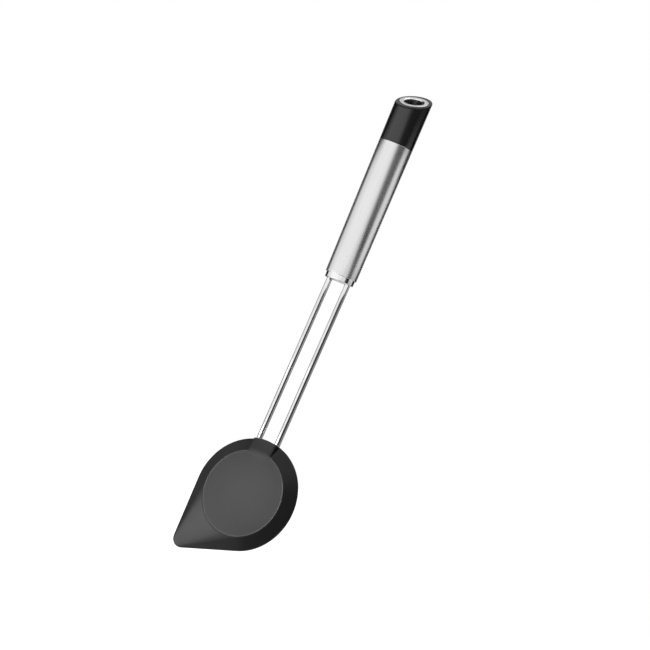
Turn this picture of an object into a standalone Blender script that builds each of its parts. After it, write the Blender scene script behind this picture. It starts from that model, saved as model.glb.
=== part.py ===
"""Cooking spoon: a steel tube handle, a bent wire shank and a moulded head.

Lengths are in metres. The spoon hangs straight down from the eye in its end cap:
+Z runs up the handle, the face of the head looks towards -Y, and the origin is
the middle of the eye, where a hook goes in.
"""

import math

import bmesh
import bpy
from mathutils import Matrix, Vector

# Fits between the pieces
FIT_GAP = 0.00025
OVERRUN = 0.004
MERGE_DISTANCE = 0.000002

# Handle tube
TUBE_LENGTH = 0.0964
TUBE_LOWER_RADIUS = 0.01115
TUBE_UPPER_RADIUS = 0.0120
TUBE_WALL = 0.0006
TUBE_EDGE = 0.00015

# End cap, cut off at a slant
CAP_HEIGHT = 0.0322
CAP_CUT_ANGLE = math.radians(30.5)
CAP_EDGE_ROUNDING = 0.0009
SPIGOT_LENGTH = 0.014
SPIGOT_WALL = 0.0022
SPIGOT_CHAMFER = 0.0006
CAP_WEB = 0.0025

# Steel eyelet in the slanted end and the bore that a hook passes through
EYE_RADIUS = 0.0070
EYE_LIP = 0.0007
FLANGE_RADIUS = 0.01005
FLANGE_THICKNESS = 0.0008
FLANGE_PROUD = 0.00015
FLANGE_EDGE = 0.0002
SLEEVE_WALL = 0.0006
SLEEVE_LENGTH = 0.0045
HANGING_BORE_RADIUS = 0.0060
HANGING_BORE_LEAN = math.radians(48.0)

# Plug that closes the lower end of the tube and carries the wire
PLUG_DROP = 0.0038
PLUG_INSERT = 0.0110
PLUG_FLOOR = 0.0060
PLUG_WALL = 0.0016
PLUG_CHAMFER = 0.0004

# Wire shank, one wire bent into a narrow U
WIRE_RADIUS = 0.0020
WIRE_SPACING = 0.0149
WIRE_FREE_LENGTH = 0.1179
WIRE_LEAN = math.radians(1.95)
WIRE_BEND_RADIUS = 0.0120
WIRE_TAIL = 0.0035
WIRE_GRIP_LENGTH = 0.0155

# Moulded head
HEAD_TILT = math.radians(6.4)
HEAD_OFFSET = 0.0019
HEAD_RADIUS = 0.0388
TIP_REACH = 0.0598
TIP_ANGLE = math.radians(33.6)
TIP_RADIUS = 0.0068
DISC_RADIUS = 0.03035
DISC_RISE = 0.0035
DISC_EDGE = 0.0003
RIM_WALL = 0.0018
RIM_EDGE = 0.0004
HEAD_WALL = 0.0024
DISH_LIP = 0.0015
NECK_WALL = 0.0010
NECK_PROUD = 0.0003
NECK_BLEND = 0.0007
NECK_SINK = 0.0004

# Counts of sides and steps
HANDLE_SIDES = 64
EYELET_SIDES = 56
HEAD_STEPS = 96
TIP_STEPS = 16
WIRE_RESOLUTION = 6
ROUND_STEPS = 4
BEND_STEPS = 4
TURN_STEPS = 14

# Angles above which two faces meet in a crisp edge
CRISP_ANGLE = math.radians(35)
HEAD_CRISP_ANGLE = math.radians(12)

# Places worked out from the sizes
CAP_BASE = TUBE_LENGTH + FIT_GAP
EYE_HEIGHT = TUBE_LENGTH + CAP_HEIGHT
HANDLE_TAPER_SHARE = (TUBE_UPPER_RADIUS - TUBE_LOWER_RADIUS) / TUBE_LENGTH
RIM_FRONT = RIM_WALL / 2
DISC_FRONT = RIM_FRONT + DISC_RISE
NECK_HALF = WIRE_RADIUS + NECK_WALL
WIRE_DOWN = Vector((0.0, -math.sin(WIRE_LEAN), -math.cos(WIRE_LEAN)))
RIM_POINT = Vector((0.0, 0.0, -PLUG_DROP)) + WIRE_DOWN * WIRE_FREE_LENGTH


def clear_scene():
    """Remove every object that the scene starts with."""
    for item in list(bpy.data.objects):
        bpy.data.objects.remove(item, do_unlink=True)


def make_material(name, colour, roughness, metallic):
    """Make one plain material."""
    material = bpy.data.materials.new(name)
    material.use_nodes = True
    shader = material.node_tree.nodes["Principled BSDF"]
    shader.inputs["Base Color"].default_value = (*colour, 1.0)
    shader.inputs["Roughness"].default_value = roughness
    shader.inputs["Metallic"].default_value = metallic
    return material


def make_frame(name, location, angle, parent=None):
    """Make an empty that carries pieces, turned about the X axis."""
    frame = bpy.data.objects.new(name, None)
    frame.location = location
    frame.rotation_euler = (angle, 0.0, 0.0)
    frame.parent = parent
    bpy.context.scene.collection.objects.link(frame)
    return frame


def make_object(name, mesh, parent, material=None):
    """Link a mesh as one named object that hangs on a frame."""
    item = bpy.data.objects.new(name, mesh)
    item.parent = parent
    bpy.context.scene.collection.objects.link(item)
    if material:
        mesh.materials.append(material)
    return item


def finish_mesh(shape, name, crisp_angle=CRISP_ANGLE):
    """Turn a bmesh into a mesh with its faces outwards and its round sides smooth."""
    bmesh.ops.recalc_face_normals(shape, faces=shape.faces)
    mesh = bpy.data.meshes.new(name)
    shape.to_mesh(mesh)
    shape.free()
    mesh.shade_smooth()
    mesh.set_sharp_from_angle(angle=crisp_angle)
    return mesh


def arc_points(centre, radius, start, end, steps):
    """Points on an arc in a profile, from one angle to another."""
    points = []
    for step in range(steps + 1):
        angle = start + (end - start) * step / steps
        points.append((centre[0] + radius * math.cos(angle), centre[1] + radius * math.sin(angle)))
    return points


def turn_profile(profile, sides):
    """Turn a closed profile of (radius, height) points about the Z axis."""
    shape = bmesh.new()
    rings = []
    for radius, height in profile:
        if radius == 0.0:
            rings.append([shape.verts.new((0.0, 0.0, height))])
            continue
        ring = []
        for side in range(sides):
            angle = math.tau * side / sides
            ring.append(shape.verts.new((radius * math.cos(angle), radius * math.sin(angle), height)))
        rings.append(ring)
    for ring, after in zip(rings, rings[1:] + rings[:1]):
        join_rings(shape, ring, after)
    return shape


def join_rings(shape, ring, after):
    """Fill the band between two rings, either of which may be a single point."""
    count = max(len(ring), len(after))
    if count == 1:
        return
    for side in range(count):
        corners = [
            ring[side % len(ring)],
            ring[(side + 1) % len(ring)],
            after[(side + 1) % len(after)],
            after[side % len(after)],
        ]
        shape.faces.new(list(dict.fromkeys(corners)))


def make_cutter(name, mesh, parent):
    """Make a solid that only cuts or joins, and is no piece itself."""
    cutter = make_object(name, mesh, parent)
    cutter.hide_render = True
    cutter.display_type = "WIRE"
    return cutter


def combine(target, tool, operation):
    """Add an exact Boolean of one object to another."""
    step = target.modifiers.new(tool.name, "BOOLEAN")
    step.operation = operation
    step.solver = "EXACT"
    step.object = tool


def make_bore(name, radius, bottom, top, parent, lean=0.0, foot=(0.0, 0.0, 0.0)):
    """Make a round cutter between two heights, leant about the X axis at its foot."""
    shape = turn_profile([(0.0, bottom), (radius, bottom), (radius, top), (0.0, top)], HANDLE_SIDES)
    bmesh.ops.rotate(shape, cent=(0.0, 0.0, 0.0), matrix=Matrix.Rotation(lean, 3, "X"), verts=shape.verts)
    bmesh.ops.translate(shape, vec=foot, verts=shape.verts)
    return make_cutter(name, finish_mesh(shape, name), parent)


def handle_radius(height):
    """Outer radius of the handle's straight taper at a height above the tube's lower end."""
    return TUBE_LOWER_RADIUS + HANDLE_TAPER_SHARE * height


def tube_bore_radius(height):
    """Inner radius of the tube at a height above its lower end."""
    return handle_radius(height) - TUBE_WALL


def make_handle_tube(parent, material):
    """The tapered steel tube, open at both ends, with its edges broken."""
    top = TUBE_LENGTH
    profile = [
        (tube_bore_radius(0.0) + TUBE_EDGE, 0.0),
        (handle_radius(0.0) - TUBE_EDGE, 0.0),
        (handle_radius(TUBE_EDGE), TUBE_EDGE),
        (handle_radius(top - TUBE_EDGE), top - TUBE_EDGE),
        (handle_radius(top) - TUBE_EDGE, top),
        (tube_bore_radius(top) + TUBE_EDGE, top),
        (tube_bore_radius(top - TUBE_EDGE), top - TUBE_EDGE),
        (tube_bore_radius(TUBE_EDGE), TUBE_EDGE),
    ]
    mesh = finish_mesh(turn_profile(profile, HANDLE_SIDES), "handle_tube")
    return make_object("handle_tube", mesh, parent, material)


def make_end_plug(parent, material, wire_channel):
    """The turned cup that stands out of the tube's lower end, bored for the wire."""
    radius = tube_bore_radius(0.0) - FIT_GAP
    inner = radius - PLUG_WALL
    floor_top = PLUG_FLOOR - PLUG_DROP
    profile = [
        (0.0, -PLUG_DROP),
        (radius - PLUG_CHAMFER, -PLUG_DROP),
        (radius, PLUG_CHAMFER - PLUG_DROP),
        (radius, PLUG_INSERT - PLUG_CHAMFER),
        (radius - PLUG_CHAMFER, PLUG_INSERT),
        (inner, PLUG_INSERT),
        (inner, floor_top),
        (0.0, floor_top),
    ]
    mesh = finish_mesh(turn_profile(profile, HANDLE_SIDES), "end_plug")
    plug = make_object("end_plug", mesh, parent, material)
    combine(plug, wire_channel, "DIFFERENCE")
    return plug


def make_cap_body():
    """The cap's outside, cut off at its slant with a rounded edge, and its hollow spigot."""
    spigot_foot = CAP_BASE - SPIGOT_LENGTH
    spigot_radius = tube_bore_radius(spigot_foot) - FIT_GAP
    hollow = spigot_radius - SPIGOT_WALL
    above = EYE_HEIGHT + TUBE_UPPER_RADIUS * math.tan(CAP_CUT_ANGLE) + OVERRUN
    profile = [
        (0.0, CAP_BASE + CAP_WEB),
        (hollow, CAP_BASE + CAP_WEB),
        (hollow, spigot_foot),
        (spigot_radius - SPIGOT_CHAMFER, spigot_foot),
        (spigot_radius, spigot_foot + SPIGOT_CHAMFER),
        (spigot_radius, CAP_BASE),
        (handle_radius(CAP_BASE), CAP_BASE),
        (handle_radius(above), above),
        (0.0, above),
    ]
    shape = turn_profile(profile, HANDLE_SIDES)
    normal = Vector((0.0, -math.sin(CAP_CUT_ANGLE), math.cos(CAP_CUT_ANGLE)))
    centre = Vector((0.0, 0.0, EYE_HEIGHT))
    everything = list(shape.verts) + list(shape.edges) + list(shape.faces)
    cut = bmesh.ops.bisect_plane(shape, geom=everything, plane_co=centre, plane_no=normal, clear_outer=True)
    edges = [item for item in cut["geom_cut"] if isinstance(item, bmesh.types.BMEdge)]
    bmesh.ops.contextual_create(shape, geom=edges)
    bmesh.ops.bevel(
        shape,
        geom=edges,
        offset=CAP_EDGE_ROUNDING,
        segments=ROUND_STEPS,
        profile=0.5,
        affect="EDGES",
    )
    return finish_mesh(shape, "end_cap")


def make_end_cap(parent, eye_frame, material):
    """The plastic cap with its seat for the eyelet and the bore for a hook."""
    cap = make_object("end_cap", make_cap_body(), parent, material)
    sleeve_foot = -(SLEEVE_LENGTH + FIT_GAP)
    seat = make_bore(
        "flange_seat", FLANGE_RADIUS + FIT_GAP, FLANGE_PROUD - FLANGE_THICKNESS - FIT_GAP, OVERRUN, eye_frame
    )
    socket = make_bore(
        "sleeve_socket", EYE_RADIUS + SLEEVE_WALL + FIT_GAP, sleeve_foot, OVERRUN, eye_frame
    )
    reach = TUBE_UPPER_RADIUS / math.sin(HANGING_BORE_LEAN) + OVERRUN
    bore = make_bore(
        "hanging_bore",
        HANGING_BORE_RADIUS,
        -reach,
        0.0,
        eye_frame,
        lean=HANGING_BORE_LEAN - CAP_CUT_ANGLE,
        foot=(0.0, 0.0, sleeve_foot + HANGING_BORE_RADIUS * math.sin(HANGING_BORE_LEAN - CAP_CUT_ANGLE)),
    )
    for cutter in (seat, socket, bore):
        combine(cap, cutter, "DIFFERENCE")
    return cap


def make_eyelet(eye_frame, material):
    """The turned steel eyelet: a flat flange, a rounded lip and a short sleeve."""
    top = FLANGE_PROUD
    under = FLANGE_PROUD - FLANGE_THICKNESS
    sleeve_radius = EYE_RADIUS + SLEEVE_WALL
    lip = arc_points((EYE_RADIUS + EYE_LIP, top - EYE_LIP), EYE_LIP, math.pi, math.pi / 2, ROUND_STEPS)
    profile = [(EYE_RADIUS, -SLEEVE_LENGTH)] + lip + [
        (FLANGE_RADIUS - FLANGE_EDGE, top),
        (FLANGE_RADIUS, top - FLANGE_EDGE),
        (FLANGE_RADIUS, under),
        (sleeve_radius, under),
        (sleeve_radius, -SLEEVE_LENGTH),
    ]
    mesh = finish_mesh(turn_profile(profile, EYELET_SIDES), "hanging_eyelet")
    return make_object("hanging_eyelet", mesh, eye_frame, material)


def head_axes():
    """The head's own directions: across it, up it and out of its face."""
    across = Vector((1.0, 0.0, 0.0))
    up = Vector((0.0, math.sin(HEAD_TILT), math.cos(HEAD_TILT)))
    return across, up, across.cross(up)


def head_centre():
    """Middle of the head's round, on the plane that the wire lies in."""
    across, up, _ = head_axes()
    return RIM_POINT + across * HEAD_OFFSET - up * HEAD_RADIUS


def wire_route():
    """Points along the wire, from one end in the plug, round the U and back."""
    _, up, _ = head_axes()
    bend = HEAD_TILT - WIRE_LEAN
    tangent = WIRE_BEND_RADIUS * math.tan(bend / 2)
    half = WIRE_SPACING / 2
    leg = [RIM_POINT - WIRE_DOWN * (WIRE_FREE_LENGTH + PLUG_FLOOR + WIRE_TAIL)]
    for step in range(BEND_STEPS + 1):
        angle = bend * step / BEND_STEPS
        along = WIRE_BEND_RADIUS * math.sin(angle) - tangent
        aside = WIRE_BEND_RADIUS * (1.0 - math.cos(angle))
        forward = WIRE_DOWN.cross(Vector((-1.0, 0.0, 0.0)))
        leg.append(RIM_POINT + WIRE_DOWN * along + forward * aside)
    turn_centre = RIM_POINT - up * WIRE_GRIP_LENGTH
    route = [point + Vector((half, 0.0, 0.0)) for point in leg]
    for step in range(TURN_STEPS + 1):
        angle = math.pi * step / TURN_STEPS
        route.append(turn_centre + Vector((half * math.cos(angle), 0.0, 0.0)) - up * half * math.sin(angle))
    route += [point - Vector((half, 0.0, 0.0)) for point in reversed(leg)]
    return route


def make_wire_mesh(name, radius):
    """A round wire of the given radius along the route."""
    curve = bpy.data.curves.new(name, "CURVE")
    curve.dimensions = "3D"
    curve.bevel_depth = radius
    curve.bevel_resolution = WIRE_RESOLUTION
    curve.use_fill_caps = True
    route = wire_route()
    spline = curve.splines.new("POLY")
    spline.points.add(len(route) - 1)
    for point, place in zip(spline.points, route):
        point.co = (*place, 1.0)
    guide = bpy.data.objects.new(name + "_guide", curve)
    bpy.context.scene.collection.objects.link(guide)
    mesh = bpy.data.meshes.new_from_object(guide.evaluated_get(bpy.context.evaluated_depsgraph_get()))
    bpy.data.objects.remove(guide, do_unlink=True)
    shape = bmesh.new()
    shape.from_mesh(mesh)
    bmesh.ops.remove_doubles(shape, verts=shape.verts, dist=MERGE_DISTANCE)
    return finish_mesh(shape, name)


def outline_stations():
    """Where the head's outline turns: how far out its middle lies, and the way outwards.

    The outline is the head's round and the smaller round of its tip, joined by the two
    straight sides that touch both. Each round turns about its own middle.
    """
    distance = TIP_REACH - TIP_RADIUS
    side_angle = math.acos((HEAD_RADIUS - TIP_RADIUS) / distance)
    rounds = (
        (distance, -side_angle, side_angle, TIP_STEPS),
        (0.0, side_angle, math.tau - side_angle, HEAD_STEPS),
    )
    stations = []
    for reach, start, end, steps in rounds:
        for step in range(steps + 1):
            turn = start + (end - start) * step / steps
            stations.append((reach, turn - math.pi / 2 - TIP_ANGLE))
    return stations


def head_ring(shape, height, radius=None, inset=0.0):
    """One ring of points round the head: a circle, or the outline drawn in by an inset.

    Points of a circle and of an outline that face the same way are joined, so the slope
    between them is smooth, with a rounded ridge that runs out to the tip.
    """
    tip_way = Vector((-math.sin(TIP_ANGLE), -math.cos(TIP_ANGLE)))
    ring = []
    for reach, turn in outline_stations():
        way = Vector((math.cos(turn), math.sin(turn)))
        place = way * radius if radius else tip_way * reach + way * (outline_round(reach) - inset)
        ring.append(shape.verts.new((*place, height)))
    return ring


def outline_round(reach):
    """Radius of the round whose middle lies this far out: the tip's, or the head's own."""
    return TIP_RADIUS if reach > 0.0 else HEAD_RADIUS


def make_head_body():
    """The head: a raised disc in front, a thin rim and a shallow dish behind."""
    shape = bmesh.new()
    dish_floor = DISC_FRONT - HEAD_WALL
    rings = [
        [shape.verts.new((0.0, 0.0, DISC_FRONT))],
        head_ring(shape, DISC_FRONT, radius=DISC_RADIUS - DISC_EDGE),
        head_ring(shape, DISC_FRONT - DISC_EDGE / 2, radius=DISC_RADIUS),
        head_ring(shape, RIM_FRONT, inset=RIM_EDGE),
        head_ring(shape, RIM_FRONT - RIM_EDGE),
        head_ring(shape, RIM_EDGE - RIM_FRONT),
        head_ring(shape, -RIM_FRONT, inset=RIM_EDGE),
        head_ring(shape, -RIM_FRONT, inset=DISH_LIP),
        head_ring(shape, dish_floor, radius=DISC_RADIUS),
        [shape.verts.new((0.0, 0.0, dish_floor))],
    ]
    for ring, after in zip(rings, rings[1:]):
        join_rings(shape, ring, after)
    bmesh.ops.remove_doubles(shape, verts=shape.verts, dist=MERGE_DISTANCE)
    return finish_mesh(shape, "spoon_head", crisp_angle=HEAD_CRISP_ANGLE)


def neck_stations():
    """Places along the wire that the neck follows: middle, outward way and lift of the front."""
    half = WIRE_SPACING / 2
    turn_height = HEAD_RADIUS - WIRE_GRIP_LENGTH
    ramp = DISC_FRONT - NECK_HALF
    legs = [
        (HEAD_RADIUS + NECK_PROUD, 0.0),
        (DISC_RADIUS - NECK_BLEND, ramp),
        (DISC_RADIUS - NECK_BLEND - NECK_HALF, ramp - NECK_SINK),
    ]
    stations = [((half, height), (1.0, 0.0), lift) for height, lift in legs]
    for step in range(TURN_STEPS + 1):
        angle = math.pi * step / TURN_STEPS
        way = (math.cos(angle), -math.sin(angle))
        middle = (half * way[0], turn_height + half * way[1])
        stations.append((middle, way, ramp - 2 * NECK_SINK))
    stations += [((-half, height), (-1.0, 0.0), lift) for height, lift in reversed(legs)]
    return stations


def make_neck_mesh():
    """The neck: a wall of even thickness all round the wire that the head holds."""
    shape = bmesh.new()
    stations = neck_stations()
    rows = []
    for middle, way, lift in stations:
        row = []
        for step in range(2 * ROUND_STEPS + 1):
            angle = -math.pi / 2 + math.pi * step / (2 * ROUND_STEPS)
            out = NECK_HALF * math.cos(angle)
            height = NECK_HALF * math.sin(angle)
            if step > ROUND_STEPS:
                height += lift
            across = middle[0] + way[0] * out - HEAD_OFFSET
            row.append(shape.verts.new((across, middle[1] + way[1] * out, height)))
        rows.append(row)
    for row, after in zip(rows, rows[1:]):
        for step in range(2 * ROUND_STEPS):
            shape.faces.new((row[step], row[step + 1], after[step + 1], after[step]))
    for index in range(len(rows) // 2):
        near = (rows[index], rows[-1 - index])
        far = (rows[index + 1], rows[-2 - index])
        for side in (0, -1):
            corners = (near[0][side], far[0][side], far[1][side], near[1][side])
            shape.faces.new(list(dict.fromkeys(corners)))
    shape.faces.new(rows[0] + rows[-1][::-1])
    return finish_mesh(shape, "neck")


def make_spoon_head(head_frame, material, wire_channel):
    """The moulded head with its neck joined on and a channel for the wire."""
    head = make_object("spoon_head", make_head_body(), head_frame, material)
    neck = make_cutter("neck", make_neck_mesh(), head_frame)
    combine(head, neck, "UNION")
    combine(head, wire_channel, "DIFFERENCE")
    return head


def main():
    """Build the spoon's six pieces."""
    clear_scene()
    brushed_steel = make_material("brushed_steel", (0.62, 0.62, 0.63), 0.32, 1.0)
    polished_steel = make_material("polished_steel", (0.72, 0.72, 0.73), 0.12, 1.0)
    black_plastic = make_material("black_plastic", (0.022, 0.022, 0.024), 0.30, 0.0)
    dark_nylon = make_material("dark_nylon", (0.045, 0.045, 0.048), 0.45, 0.0)

    handle_frame = make_frame("handle_frame", (0.0, 0.0, -EYE_HEIGHT), 0.0)
    eye_frame = make_frame("eye_frame", (0.0, 0.0, EYE_HEIGHT), CAP_CUT_ANGLE, handle_frame)
    head_frame = make_frame("head_frame", head_centre(), math.pi / 2 - HEAD_TILT, handle_frame)

    channel_mesh = make_wire_mesh("wire_channel", WIRE_RADIUS + FIT_GAP)
    wire_channel = make_cutter("wire_channel", channel_mesh, handle_frame)

    make_object("wire_shank", make_wire_mesh("wire_shank", WIRE_RADIUS), handle_frame, polished_steel)
    make_handle_tube(handle_frame, brushed_steel)
    make_end_plug(handle_frame, polished_steel, wire_channel)
    make_end_cap(handle_frame, eye_frame, black_plastic)
    make_eyelet(eye_frame, polished_steel)
    make_spoon_head(head_frame, dark_nylon, wire_channel)


main()
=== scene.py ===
"""Cooking spoon: a steel tube handle, a bent wire shank and a moulded head with a point.

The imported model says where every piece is. This script models each piece in full in that
place, dresses it, and lights it as the photograph is lit. Lengths are in metres: +Z runs up
the handle, the face of the head looks towards -Y, and the origin is the middle of the
hanging eye.
"""

import logging
import math
from dataclasses import dataclass
from enum import Enum
from typing import Any, Callable, Iterable, Sequence

import bmesh
import bpy
from mathutils import Matrix, Vector


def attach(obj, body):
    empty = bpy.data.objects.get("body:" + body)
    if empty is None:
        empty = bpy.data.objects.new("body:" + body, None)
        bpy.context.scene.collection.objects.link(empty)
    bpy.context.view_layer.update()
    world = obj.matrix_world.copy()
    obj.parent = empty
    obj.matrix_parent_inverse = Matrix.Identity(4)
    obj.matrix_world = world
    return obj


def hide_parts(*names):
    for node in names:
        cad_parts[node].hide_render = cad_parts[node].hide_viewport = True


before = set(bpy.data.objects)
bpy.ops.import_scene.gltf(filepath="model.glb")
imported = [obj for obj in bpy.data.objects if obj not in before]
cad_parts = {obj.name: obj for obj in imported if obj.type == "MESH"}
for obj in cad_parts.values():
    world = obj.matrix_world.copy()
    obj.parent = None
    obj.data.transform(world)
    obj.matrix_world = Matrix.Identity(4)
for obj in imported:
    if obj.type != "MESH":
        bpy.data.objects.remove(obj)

LOG = logging.getLogger("cooking_spoon")
BODY = "root"
# Paler marks on the head: wear at the rim, and a painted highlight along the disc's bead.
WEAR_AND_HIGHLIGHT_LAYER = "edge_wear_and_bead_highlight"

Point = tuple[float, float]
Place = tuple[float, float, float]
Colour = tuple[float, float, float]
Range = tuple[float, float]
Spot = Place | Vector
Test = Callable[[Vector], bool]

ORIGIN: Place = (0.0, 0.0, 0.0)
X_AXIS = Vector((1.0, 0.0, 0.0))
WHITE: Colour = (1.0, 1.0, 1.0)
SLANT = math.radians(30.5)
MERGE_DISTANCE = 0.000002
CUT_TOLERANCE = 0.0000001
# How far a cutter reaches past the surface that it cuts.
CLEAR = 0.004


class Slot(Enum):
    """Names of the material slots."""

    BRUSHED_STEEL = "brushed_steel"
    POLISHED_STEEL = "polished_steel"
    BLACK_PLASTIC = "black_plastic"
    DARK_NYLON = "dark_nylon"


class Grain(Enum):
    """Which way the fine marks of a metal run."""

    ALONG = "along the handle"
    ROUND = "round the axis it was turned about"


class Plan(Enum):
    """What one ring of the head follows."""

    CIRCLE = "circle"
    OUTLINE = "outline"


class Join(Enum):
    """What a second solid does to the first."""

    ADD = "UNION"
    CUT = "DIFFERENCE"
    KEEP = "INTERSECT"


# Shader maths


class Signal:
    """A value that a node gives. Arithmetic on it adds Math nodes."""

    def __init__(self, bench: "NodeBench", socket: bpy.types.NodeSocket) -> None:
        """Keep the socket and the bench that it is on."""
        self.bench = bench
        self.socket = socket

    def beside(self, output: str | int) -> "Signal":
        """Another output of the same node."""
        return Signal(self.bench, self.socket.node.outputs[output])

    def _join(self, operation: str, first: Any, second: Any = 0.0) -> "Signal":
        """Join two values with a Math node."""
        return self.bench.node("ShaderNodeMath", {"operation": operation}, {0: first, 1: second})

    def __add__(self, other: Any) -> "Signal":
        """Add."""
        return self._join("ADD", self, other)

    def __radd__(self, other: Any) -> "Signal":
        """Add to a number."""
        return self._join("ADD", other, self)

    def __sub__(self, other: Any) -> "Signal":
        """Subtract."""
        return self._join("SUBTRACT", self, other)

    def __rsub__(self, other: Any) -> "Signal":
        """Subtract from a number."""
        return self._join("SUBTRACT", other, self)

    def __mul__(self, other: Any) -> "Signal":
        """Multiply."""
        return self._join("MULTIPLY", self, other)

    def __rmul__(self, other: Any) -> "Signal":
        """Multiply a number."""
        return self._join("MULTIPLY", other, self)

    def root(self) -> "Signal":
        """The square root."""
        return self._join("SQRT", self)

    def within(self, low: float, high: float) -> "Signal":
        """Map low..high to 0..1, smoothly and no further.

        Args:
            low: the value that becomes 0.
            high: the value that becomes 1.

        Returns:
            The mapped value.
        """
        return self.bench.node(
            "ShaderNodeMapRange",
            {"interpolation_type": "SMOOTHSTEP", "clamp": True},
            {"Value": self, "From Min": low, "From Max": high},
        )


class NodeBench:
    """A node tree, and the one way that nodes are added to it."""

    def __init__(self, tree: bpy.types.NodeTree) -> None:
        """Keep the tree."""
        self.tree = tree

    def put(self, socket: bpy.types.NodeSocket, value: Any) -> None:
        """Link a value to a socket, or write a plain number or colour there.

        Args:
            socket: the socket that takes the value.
            value: a Signal, a socket, a number or a tuple.
        """
        if isinstance(value, Signal):
            value = value.socket
        if isinstance(value, bpy.types.NodeSocket):
            self.tree.links.new(value, socket)
        elif isinstance(value, tuple) and len(value) == 3 and socket.type == "RGBA":
            socket.default_value = (*value, 1.0)
        else:
            socket.default_value = value

    def node(
        self,
        kind: str,
        settings: dict[str, Any] | None = None,
        sockets: dict[str | int, Any] | None = None,
        output: str | int = 0,
    ) -> Signal:
        """Add any node: its settings first, then its sockets.

        Args:
            kind: the node's type.
            settings: properties of the node.
            sockets: values or links, by socket name or number.
            output: the output that is wanted.

        Returns:
            The node's output.
        """
        made = self.tree.nodes.new(kind)
        for name, value in (settings or {}).items():
            setattr(made, name, value)
        for name, value in (sockets or {}).items():
            self.put(made.inputs[name], value)
        return Signal(self, made.outputs[output])

    def seen_plainly(self) -> Signal:
        """Tell the camera's rays, and those off metal and through glass, from matte light.

        Returns:
            1 for those rays and 0 for matte light.
        """
        camera = self.node("ShaderNodeLightPath", output="Is Camera Ray")
        rays = camera + camera.beside("Is Glossy Ray") + camera.beside("Is Transmission Ray")
        return rays.within(0.0, 1.0)


@dataclass(frozen=True)
class Pattern:
    """Noise: marks to a metre along each axis, finer layers, their strength, and a turn."""

    marks: Place
    detail: float = 2.0
    rough: float = 0.5
    turn: Place = ORIGIN


class FinishShop(NodeBench):
    """Where one material's nodes are put together."""

    def __init__(self, name: str) -> None:
        """Start a material with a Principled shader.

        Args:
            name: the material's name.
        """
        self.material = bpy.data.materials.new(name)
        self.material.use_nodes = True
        super().__init__(self.material.node_tree)
        self.shader = self.tree.nodes["Principled BSDF"]

    def place(self, stretch: Place = (1.0, 1.0, 1.0), turn: Place = ORIGIN) -> Signal:
        """Read the point on the piece, turned and then stretched.

        Args:
            stretch: marks to a metre along each axis.
            turn: angles about the axes.

        Returns:
            A vector for a texture.
        """
        turned = self.node(
            "ShaderNodeVectorRotate",
            {"rotation_type": "EULER_XYZ"},
            {"Vector": self.node("ShaderNodeTexCoord", output="Object"), "Rotation": turn},
        )
        return self.node(
            "ShaderNodeVectorMath", {"operation": "MULTIPLY"}, {0: turned, 1: stretch}
        )

    def parts(self, vector: Signal) -> tuple[Signal, Signal, Signal]:
        """The three numbers in a vector."""
        first = self.node("ShaderNodeSeparateXYZ", {}, {0: vector})
        return first, first.beside(1), first.beside(2)

    def noise(self, pattern: Pattern, vector: Signal | None = None) -> Signal:
        """Add a noise pattern.

        Args:
            pattern: the pattern.
            vector: where it is read, if that isn't the point on the piece.

        Returns:
            The noise, from about 0 to 1.
        """
        if vector is None:
            vector = self.place(pattern.marks, pattern.turn)
        fineness = {"Scale": 1.0, "Detail": pattern.detail, "Roughness": pattern.rough}
        return self.node("ShaderNodeTexNoise", {}, {"Vector": vector, **fineness})

    def blend(self, share: Signal, low: Colour | Signal, high: Colour | Signal) -> Signal:
        """A colour between two colours."""
        sockets = {0: share, 6: low, 7: high}
        return self.node("ShaderNodeMix", {"data_type": "RGBA"}, sockets, output=2)

    def relief(self, height: Signal, depth: float, strength: float) -> Signal:
        """A bumped normal, from a height of 0 to 1 and what 1 means in metres."""
        sockets = {"Strength": strength, "Distance": depth, "Height": height}
        return self.node("ShaderNodeBump", {}, sockets)

    def dress(self, **sockets: Any) -> bpy.types.Material:
        """Set the shader's sockets.

        Args:
            sockets: values by the shader's socket names, with _ for a space.

        Returns:
            The material.
        """
        for name, value in sockets.items():
            self.put(self.shader.inputs[name.replace("_", " ")], value)
        return self.material

    def show(self, surface: Signal) -> bpy.types.Material:
        """Show another surface than the Principled shader's, and hand over the material."""
        self.put(self.tree.nodes["Material Output"].inputs["Surface"], surface)
        return self.material


@dataclass(frozen=True)
class Finish:
    """A finish that a piece can take."""

    name: str
    slot: Slot

    def make(self) -> bpy.types.Material:
        """Make the material."""
        raise NotImplementedError


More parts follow.
